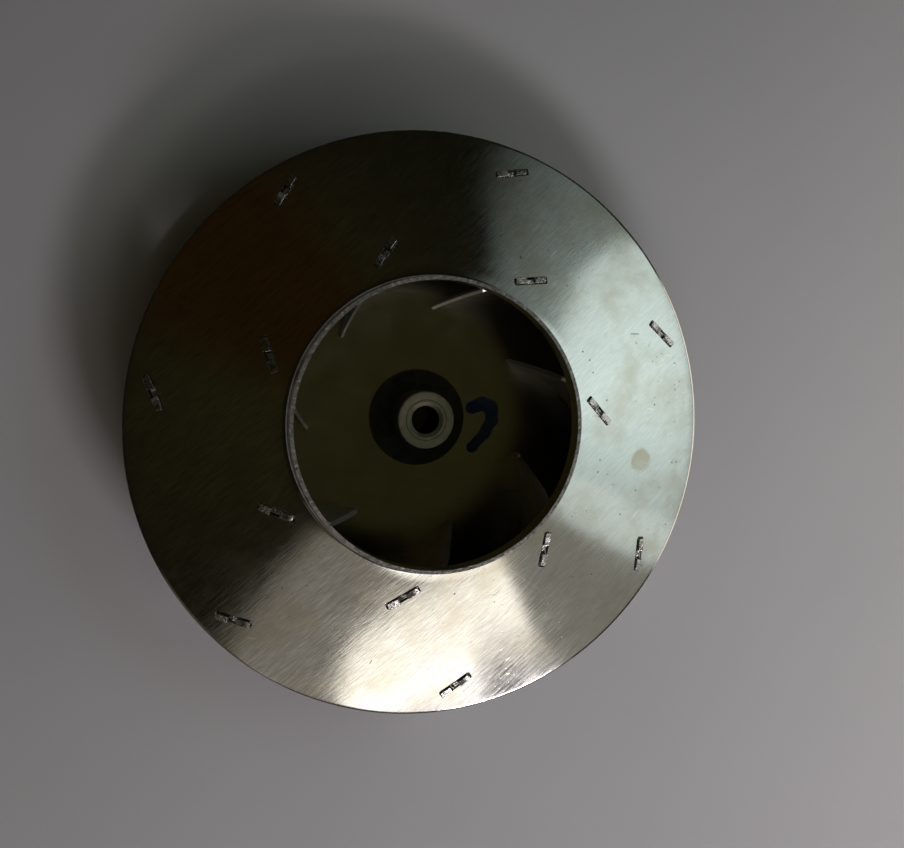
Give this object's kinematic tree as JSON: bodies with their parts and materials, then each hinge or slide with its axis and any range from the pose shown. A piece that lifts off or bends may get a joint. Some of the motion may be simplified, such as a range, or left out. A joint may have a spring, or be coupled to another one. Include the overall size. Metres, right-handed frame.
{
  "type": "vacuum motor fan wheel",
  "caption": "Shrouded sheet-metal centrifugal fan wheel for a vacuum motor: conical front plate with inlet collar, backward-curved staked vanes, flat back plate and bored hub.",
  "frame": {"origin": "centre of the hub's rear face, which the wheel stands on", "axes": "+Z along the shaft axis towards the inlet eye; the wheel's size is least along Z"},
  "size_m": [0.133, 0.133, 0.0298],
  "materials": {
    "shroud_aluminium": "brushed mill finish with scratches",
    "plate_aluminium": "mill finish, dulled",
    "vane_aluminium": "mill finish with bright sheared edges",
    "hub_steel": "turned and dulled",
    "washer_steel": "dark oxide"
  },
  "bodies": {
    "root": {"shroud": "shroud_aluminium", "back_plate": "plate_aluminium", "vane_1": "vane_aluminium", "vane_2": "vane_aluminium", "vane_3": "vane_aluminium", "vane_4": "vane_aluminium", "vane_5": "vane_aluminium", "vane_6": "vane_aluminium", "vane_7": "vane_aluminium", "hub_bushing": "hub_steel", "front_washer": "washer_steel", "rear_washer": "washer_steel"}
  },
  "joints": []
}
